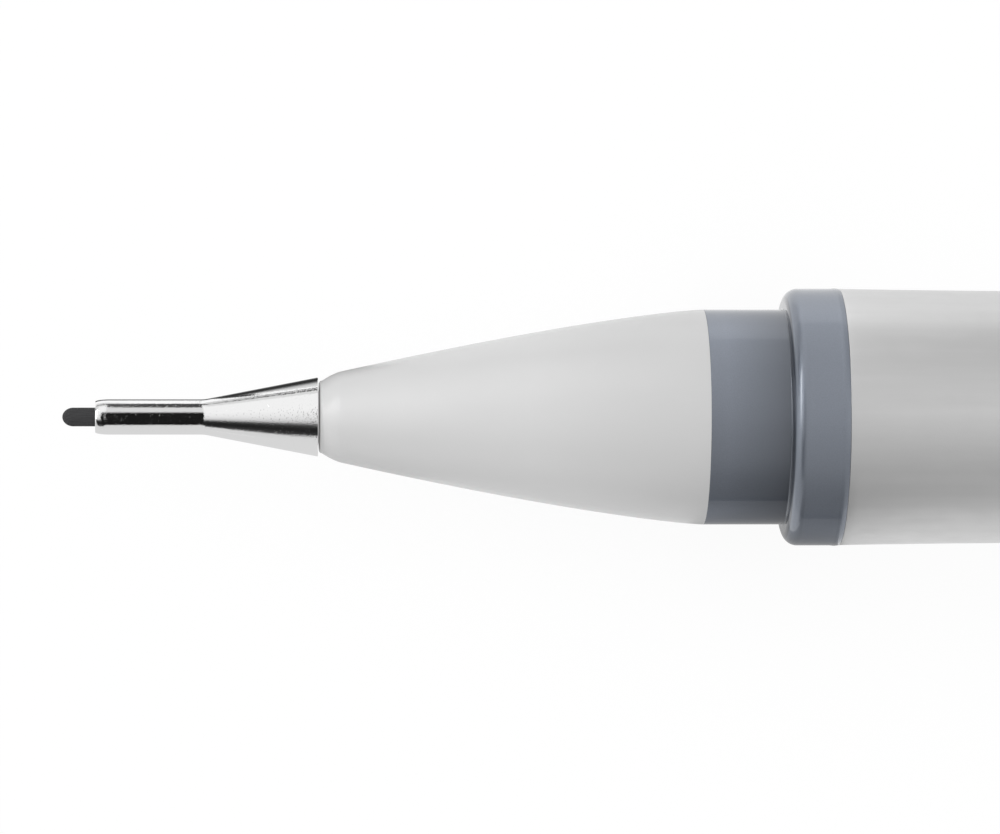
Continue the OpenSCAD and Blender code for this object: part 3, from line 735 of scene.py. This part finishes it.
class PEN_OT_cap(Operator):
    """Anodised cap with its inner sleeve, soft seal and crown"""

    bl_idname = "pen.cap"
    bl_label = "Cap"

    def execute(self, context):
        sizes = context.scene.pen_sizes
        finish = context.scene.pen_finish
        rim = sizes.rim_round
        start, end, radius = reach("cap_shell")
        bore = radius - sizes.shell_wall
        shell = turned("cap_tube", [(start, bore + BEVEL)]
                       + front_edge(start, radius, rim, 10)
                       + rear_edge(end, radius, rim, 10)
                       + [(end, bore), (start + BEVEL, bore)])
        cut_out(shell, tab_room(sizes))
        keep(shell, "cap", ["cap_shell"], anodised_finish("cap_metal", finish.metal))
        self.add_sleeve(sizes, finish)
        self.add_crown(sizes, end, radius)
        return {"FINISHED"}

    def add_sleeve(self, sizes, finish):
        """Inner sleeve that grips collar or post, and the soft cup that closes round the nose."""
        start, end, radius = reach("cap_liner")
        bore, floor, lip = radius - sizes.liner_wall, end - sizes.liner_end, 0.12 * MM
        sleeve = ([(floor, 0.0), (floor, bore), (start + lip, bore)]
                  + arc(start + lip, bore + lip, lip, lip, 180, 270, 6)
                  + [(start, radius - BEVEL), (start + BEVEL, radius), (end, radius), (end, 0.0)])
        keep(turned("cap_sleeve", sleeve), "cap", ["cap_liner"],
             moulded_finish("liner_plastic", finish.white))
        start, end, radius = reach("cap_seal")
        lip, room = sizes.seal_lip, sizes.seal_lip + sizes.seal_relief
        soft, step, floor = 0.2 * MM, start + 0.8 * MM, end - sizes.seal_end
        cup = ([(floor, 0.0), (floor, room), (step + sizes.seal_relief, room), (step, lip)]
               + arc(start + soft, lip + soft, soft, soft, 180, 270, 8)
               + front_edge(start, radius, soft, 8)
               + [(end, radius), (end, 0.0)])
        keep(turned("soft_seal", cup), "cap", ["cap_seal"],
             rubber_finish("seal_rubber", finish.seal))

    def add_crown(self, sizes, seat, radius):
        """Plug of the cap's end with its dome and shallow recess."""
        start, end, _ = reach("cap_crown")
        plug = reach("cap_liner")[2]
        rim, dome, recess = sizes.rim_round, sizes.crown_dome, sizes.crown_recess
        side = radius - rim
        front = seat + CLEARANCE
        floor = end - sizes.recess_depth
        soft = 0.12 * MM
        outline = (
            [(start, 0.0), (start, plug - CHAMFER), (start + CHAMFER, plug), (front, plug)]
            + front_edge(front, radius, rim, 10)
            + arc(end - dome, side - dome, dome, dome + rim, 0, 90, 24)
            + arc(end - soft, recess + soft, soft, soft, 90, 180, 8)
            + arc(floor + soft, recess - soft, soft, soft, 0, -90, 8)[1:]
            + [(floor, 0.0)])
        crown = turned("crown", outline)
        cut_out(crown, tab_room(sizes))
        keep(crown, "cap", ["cap_crown"], bpy.data.materials["collar_plastic"])


def tab_room(sizes):
    """A block for the slot of the clip's tab, on the clip's side of the cap."""
    _, shell_end, radius = reach("cap_shell")
    gap = sizes.slot_gap
    half = Vector((sizes.clip_thickness / 2 + gap, sizes.clip_root_width / 2 + gap, 0.0))
    low = radius - sizes.shell_wall - sizes.tab_depth - gap
    high = radius + 0.5 * MM
    middle = shell_end - sizes.tab_offset
    bm = bmesh.new()
    bmesh.ops.create_cube(bm, size=2.0)
    for vert in bm.verts:
        vert.co = (middle + vert.co.x * half.x, vert.co.y * half.y,
                   low if vert.co.z < 0 else high)
    bm.transform(Matrix.Rotation(sizes.clip_turn, 4, "X"))
    return make_object("tab_room", bm)


class PEN_OT_clip(Operator):
    """Sprung steel clip with a bent root, a curved foot and a flicked free end"""

    bl_idname = "pen.clip"
    bl_label = "Clip"

    def execute(self, context):
        sizes = context.scene.pen_sizes
        _, shell_end, shell = reach("cap_shell")
        root = shell_end - sizes.tab_offset
        path = self.path(sizes, root, shell)
        tip = root - sizes.clip_length
        bm = bmesh.new()
        rings = []
        for k, spot in enumerate(path):
            before, after = path[max(k - 1, 0)], path[min(k + 1, len(path) - 1)]
            way = Vector((after[0] - before[0], after[1] - before[1])).normalized()
            ring = []
            for side, up in self.section(sizes, self.half_width(sizes, spot[0] - tip)):
                ring.append(bm.verts.new((spot[0] - way.y * up, side, spot[1] + way.x * up)))
            rings.append(ring)
        count = len(rings[0])
        for one, two in zip(rings, rings[1:]):
            for k in range(count):
                n = (k + 1) % count
                bm.faces.new((one[k], one[n], two[n], two[k]))
        bm.faces.new(rings[0])
        bm.faces.new(rings[-1])
        bm.transform(Matrix.Rotation(sizes.clip_turn, 4, "X"))
        keep(make_object("spring_clip", bm), "clip", ["clip"],
             steel_finish("clip_steel", context.scene.pen_finish.steel, rough=0.12))
        return {"FINISHED"}

    @staticmethod
    def path(sizes, root, shell):
        """Middle line of the strip, from the tab to the free end, as (x, height) points."""
        half, turn = sizes.clip_thickness / 2, sizes.clip_bend
        arm, foot = shell + sizes.clip_gap + half, shell + sizes.foot_gap + half
        foot_x = root - sizes.clip_length + sizes.flick_length
        line = [(root, shell - sizes.shell_wall - sizes.tab_depth)]
        line += arc(root - turn, arm - turn, turn, turn, 90, 0, 16)
        rise = (arm - foot) * sizes.arm_share
        start, stop = line[-1], (foot_x + sizes.foot_run, foot + rise)
        line += [(start[0] + (stop[0] - start[0]) * k / 12, start[1] + (stop[1] - start[1]) * k / 12)
                 for k in range(1, 12)]
        line += [(foot_x + sizes.foot_run * t, foot + rise * t * t * (3 - 2 * t))
                 for t in (k / 20 for k in range(20, -1, -1))]
        line += [(foot_x - sizes.flick_length * t, foot + sizes.flick_rise * t * t)
                 for t in (math.sin(math.pi / 2 * k / 24) for k in range(1, 25))]
        return line

    @staticmethod
    def half_width(sizes, along):
        """Half the width of the strip at a distance from its free end."""
        tip = sizes.clip_tip_width / 2
        if along < tip:
            return math.sqrt(max(0.0, tip ** 2 - (tip - along) ** 2))
        full = sizes.clip_length - sizes.clip_bend
        part = min(1.0, (along - tip) / (full - tip))
        return tip + (sizes.clip_root_width / 2 - tip) * part

    @staticmethod
    def section(sizes, half):
        """Cross-section of the strip with rounded edges, as (sideways, up) points."""
        thick = sizes.clip_thickness / 2
        half = max(half, 0.02 * MM)
        edge = min(sizes.clip_edge, half)
        points = []
        for quarter, (side, up) in enumerate(((1, 1), (1, -1), (-1, -1), (-1, 1))):
            points += [(side * (half - edge) + edge * math.sin(a),
                        up * (thick - edge) + edge * math.cos(a))
                       for a in (math.radians(90 * quarter + 15 * k) for k in range(7))]
        return points


def card(name, rows):
    """A card that only reflections see, from rows of (one end, other end, level) in millimetres."""
    mesh = bpy.data.meshes.new(name)
    spots = [Vector(spot) * MM for one, two, _ in rows for spot in (one, two)]
    mesh.from_pydata(spots, [], [(2 * k, 2 * k + 1, 2 * k + 3, 2 * k + 2)
                                 for k in range(len(rows) - 1)])
    mesh.attributes.new("level", "FLOAT", "POINT").data.foreach_set(
        "value", [level for _, _, level in rows for _ in range(2)])
    made = add_object(name, mesh)
    material = bpy.data.materials.new(name)
    tree = bare_tree(material)
    level = node(tree, "ShaderNodeAttribute")
    level.attribute_name = "level"
    glow = node(tree, "ShaderNodeEmission", Strength=level.outputs["Fac"])
    node(tree, "ShaderNodeOutputMaterial", glow.outputs[0])
    mesh.materials.append(material)
    made.visible_camera = made.visible_diffuse = made.visible_shadow = False
    made.visible_transmission = made.visible_volume_scatter = False
    made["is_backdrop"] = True


def strip(levels, x0, x1, z):
    """Rows of a level card, from (y, level) pairs."""
    return [((x0, y, z), (x1, y, z), level) for y, level in levels]


def wall(levels, x0, x1, y):
    """Rows of an upright card beside the pen, from (z, level) pairs."""
    return [((x0, y, z), (x1, y, z), level) for z, level in levels]


def around(levels, radius, x0, x1):
    """Rows of a card bent round the axis, from (degrees, level) pairs with 0 straight up."""
    rows = []
    for (start, one), (end, two) in zip(levels, levels[1:]):
        for k in range(6):
            turn = math.radians(start + (end - start) * k / 5)
            y, z = radius * math.sin(turn), radius * math.cos(turn)
            rows.append(((x0, y, z), (x1, y, z), one + (two - one) * k / 5))
    return rows


def shown(tree):
    """1 for what is seen directly, in gloss or through glass, and 0 for what lights matt surfaces."""
    paths = node(tree, "ShaderNodeLightPath").outputs
    seen = paths["Is Camera Ray"]
    for ray in ("Is Glossy Ray", "Is Transmission Ray"):
        either = node(tree, "ShaderNodeMath", seen, paths[ray])
        either.operation = "MAXIMUM"
        seen = either.outputs[0]
    return seen


# Light levels round the axis, by degrees from straight up towards +Y.
TENT = [(-91, 0.57), (-64, 0.54), (-50, 0.5), (-40, 0.55), (-28, 0.64), (-16, 0.77), (-4, 0.86),
        (24, 0.88), (33, 0.78), (44, 0.71), (68, 0.68), (91, 0.76)]
COLLAR_TENT = [(-102, 0.37), (-94, 0.37), (-93, 0.05), (-88, 0.08), (-84, 0.18), (-64, 0.26),
               (-52, 0.4), (-40, 0.55), (-16, 0.66), (0, 0.76), (20, 0.84), (50, 0.92), (70, 1.05),
               (84, 1.0), (85, 1.4), (102, 1.4)]
ROOM = [(-95, 0.4), (-62, 0.4), (-40, 0.6), (-5, 0.86), (20, 0.86), (64, 0.7), (72, 0.2),
        (92, 0.2)]


# Places and light levels of the cards, in millimetres. LOW lies just above the floor.
LOW = -5.4
CARDS = {
    "tent": around(TENT, 250, -300, 400),
    "collar_tent": around(COLLAR_TENT, 25, -8, 4.5),
    "card_streak": strip([(-14, 1.2), (0, 2.8), (30, 5.0), (60, 5.2), (70, 4.6), (78, 0.9)],
                         -125, -70, 59),
    "card_over_sleeve": strip([(-80, 0.01), (26, 0.01), (28.5, 0.05), (36.5, 0.4), (43, 0.68)],
                              -36.5, -12, 61),
    "card_near_sleeve": strip([(-17, 0.01), (4.6, 0.01), (5.4, 0.05), (7, 0.4), (8.4, 0.68)],
                              -32.2, -30.5, 12),
    "card_left_of_cone": [((-24.8, 0.8, z), (-24.8, 12, z), level)
                          for z, level in ((LOW, 0.03), (-2.6, 0.1), (-2, 0.6))],
    "card_ahead": [((-250, y, LOW), (-250, y, 150), 0.05) for y in (60, 400)],
    "card_over_cone": strip([(-212, 0.68), (-150, 0.43), (-130, 0.2), (-110, 0.05), (-60, 0.015),
                             (-50, 0.015), (-40, 0.025), (-33, 0.05), (-30, 0.08), (-27, 0.12),
                             (-23, 0.3), (-19, 0.48), (-15, 0.6), (-5, 0.76), (5, 0.84),
                             (15, 0.88), (27, 0.92), (350, 0.92), (860, 0.9)], -83, -36.5, 60),
    "card_behind_sleeve": wall([(LOW, 0.05), (89, 0.08), (95, 0.7)], -38, -12, 200),
    "card_floor_behind_sleeve": strip([(42, 0.5), (48, 0.05), (200, 0.05)], -38, -12, LOW),
    "card_behind_cone": wall([(LOW, 0.08), (14, 0.08)], -235, -38.5, 240),
    "card_beside_sleeve": wall([(LOW, 0.7), (39, 0.68)], -38, -14, -60),
    "card_beside_cone": wall([(LOW, 0.7), (24, 0.68)], -200, -38.5, -60),
    "card_floor_steel": strip([(-60, 0.7), (0, 0.7)], -200, -16, LOW),
    "card_floor_sleeve": strip([(0, 0.12), (5, 0.12), (6, 0.9)], -31.5, -24.8, LOW),
    "card_floor_collar": strip([(-25, 0.38), (-8, 0.42), (0, 0.6)], -3.6, 3.2, LOW),
    "card_floor_behind_collar": strip([(0, 0.95), (6, 1.0), (12, 1.2), (25, 1.4)], -3.6, 3.2, LOW),
    "card_floor_barrel": strip([(-250, 1.0), (-20, 0.9), (-10, 1.02), (0, 1.0)], 3.2, 200, LOW),
    "card_floor_behind_barrel": strip([(0, 0.85), (7, 1.0), (20, 1.1), (250, 1.1)], 3.2, 200, LOW),
    "card_floor_cone": strip([(18, 0.7), (600, 0.7)], -400, -28.5, LOW),
    "card_under_cone": strip([(0, 0.4), (2.5, 0.3), (4, 0.05), (7, 0.02), (9.3, 0.15), (12, 0.5),
                              (15.5, 0.65), (20, 0.72), (40, 0.75)], -24.8, -18, LOW),
}


class PEN_OT_stage(Operator):
    """Pale floor, soft light, reflection cards and camera"""

    bl_idname = "pen.stage"
    bl_label = "Stage"

    def execute(self, context):
        scene = context.scene
        studio = scene.pen_studio
        self.add_floor(studio)
        self.add_world(scene)
        self.add_lamp(studio)
        self.add_cards()
        self.add_camera(scene, studio)
        scene.view_settings.view_transform = "Standard"
        return {"FINISHED"}

    def add_floor(self, studio):
        """Plain floor under cap, flange and clip. It shows white, less what shadows take."""
        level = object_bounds()[0].z - 0.01 * MM
        half = 3.0
        lit = 0.8  # what the lights alone give a white floor
        mesh = bpy.data.meshes.new("floor")
        mesh.from_pydata([(-half, -half, level), (half, -half, level), (half, half, level),
                          (-half, half, level)], [], [(0, 1, 2, 3)])
        floor = add_object("floor", mesh)
        material = bpy.data.materials.new("floor")
        tree = bare_tree(material)
        plain = node(tree, "ShaderNodeBsdfDiffuse", Color=(*studio.floor_colour, 1.0))
        faint = node(tree, "ShaderNodeBsdfDiffuse", Color=(*[studio.floor_shadow] * 3, 1.0))
        white = node(tree, "ShaderNodeEmission", Strength=1.0 - studio.floor_shadow * lit)
        both = node(tree, "ShaderNodeAddShader", faint.outputs[0], white.outputs[0])
        mix = node(tree, "ShaderNodeMixShader", shown(tree), plain.outputs[0], both.outputs[0])
        node(tree, "ShaderNodeOutputMaterial", mix.outputs[0])
        mesh.materials.append(material)
        floor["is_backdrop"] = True

    def add_world(self, scene):
        """White where it is seen, and for matt surfaces a room that is dimmer near the floor."""
        world = bpy.data.worlds.new("studio")
        scene.world = world
        tree = bare_tree(world)
        place = node(tree, "ShaderNodeTexCoord").outputs["Generated"]
        parts = node(tree, "ShaderNodeSeparateXYZ", place).outputs
        turn = node(tree, "ShaderNodeMath", parts["Y"], parts["Z"])
        turn.operation = "ARCTAN2"
        span = node(tree, "ShaderNodeMapRange", turn.outputs[0], From_Min=-math.pi, From_Max=math.pi)
        ramp = node(tree, "ShaderNodeValToRGB", span.outputs[0])
        stops = ramp.color_ramp.elements
        while len(stops) < len(ROOM):
            stops.new(0.5)
        for stop, (degrees, level) in zip(stops, ROOM):
            stop.position = (degrees + 180) / 360
            stop.color = (level, level, level, 1.0)
        room = node(tree, "ShaderNodeBackground", ramp.outputs[0])
        white = node(tree, "ShaderNodeBackground", Color=(1.0, 1.0, 1.0, 1.0))
        mix = node(tree, "ShaderNodeMixShader", shown(tree), room.outputs[0], white.outputs[0])
        node(tree, "ShaderNodeOutputWorld", mix.outputs[0])

    def add_lamp(self, studio):
        """A soft key lamp from above and behind."""
        lamp = bpy.data.lights.new("key", "AREA")
        lamp.shape = "RECTANGLE"
        lamp.size, lamp.size_y = 0.5, 0.3
        lamp.energy = studio.key_power
        key = add_object("key", lamp)
        key.location = (-0.45, 0.3, 0.38)
        key.rotation_euler = Vector(key.location).to_track_quat("Z", "X").to_euler()
        key.visible_glossy = False

    def add_cards(self):
        """A tent round the pen, a small one round the collar, and cards for single reflections."""
        for name, rows in CARDS.items():
            card(name, rows)

    def add_camera(self, scene, studio):
        """Looks down on the nose from above, turned slightly towards the point."""
        data = bpy.data.cameras.new("camera")
        data.lens = studio.focal_length
        data.sensor_width = 36.0
        data.clip_start, data.clip_end = 0.01, 10.0
        camera = add_object("camera", data)
        yaw = studio.camera_yaw
        right = Vector((math.cos(yaw), 0.0, math.sin(yaw)))
        back = Vector((-math.sin(yaw), 0.0, math.cos(yaw)))
        up = Vector((0.0, 1.0, 0.0))
        place = Vector((studio.camera_aim, 0.0, 0.0)) + back * studio.camera_distance
        turn = Matrix((right, up, back)).transposed().to_4x4()
        camera.matrix_world = Matrix.Translation(place) @ turn
        scene.camera = camera


GROUPS = {"pen_sizes": PenSizes, "pen_finish": PenFinish, "pen_studio": PenStudio}
STEPS = [PEN_OT_stage, PEN_OT_point, PEN_OT_sleeve, PEN_OT_nose, PEN_OT_collar,
         PEN_OT_cartridge, PEN_OT_barrel, PEN_OT_cap, PEN_OT_clip]


class PEN_PT_panel(Panel):
    """Lists the pieces of the pen and what a user may change"""

    bl_idname = "PEN_PT_panel"
    bl_label = "Fineliner pen"
    bl_space_type = "VIEW_3D"
    bl_region_type = "UI"
    bl_category = "Pen"

    def draw(self, context):
        for group in GROUPS:
            values = getattr(context.scene, group)
            box = self.layout.box()
            for name in values.bl_rna.properties.keys():
                if name not in ("rna_type", "name"):
                    box.prop(values, name)
        for step in STEPS:
            self.layout.operator(step.bl_idname)


def register():
    for kind in [*GROUPS.values(), *STEPS, PEN_PT_panel]:
        bpy.utils.register_class(kind)
    for name, kind in GROUPS.items():
        setattr(bpy.types.Scene, name, PointerProperty(type=kind))


def unregister():
    for name in GROUPS:
        delattr(bpy.types.Scene, name)
    for kind in reversed([*GROUPS.values(), *STEPS, PEN_PT_panel]):
        bpy.utils.unregister_class(kind)


def main():
    register()
    bpy.ops.pen.stage()
    bpy.ops.pen.point()
    bpy.ops.pen.sleeve()
    bpy.ops.pen.nose()
    bpy.ops.pen.collar()
    bpy.ops.pen.cartridge()
    bpy.ops.pen.barrel()
    bpy.ops.pen.cap()
    bpy.ops.pen.clip()


if __name__ == "__main__":
    main()
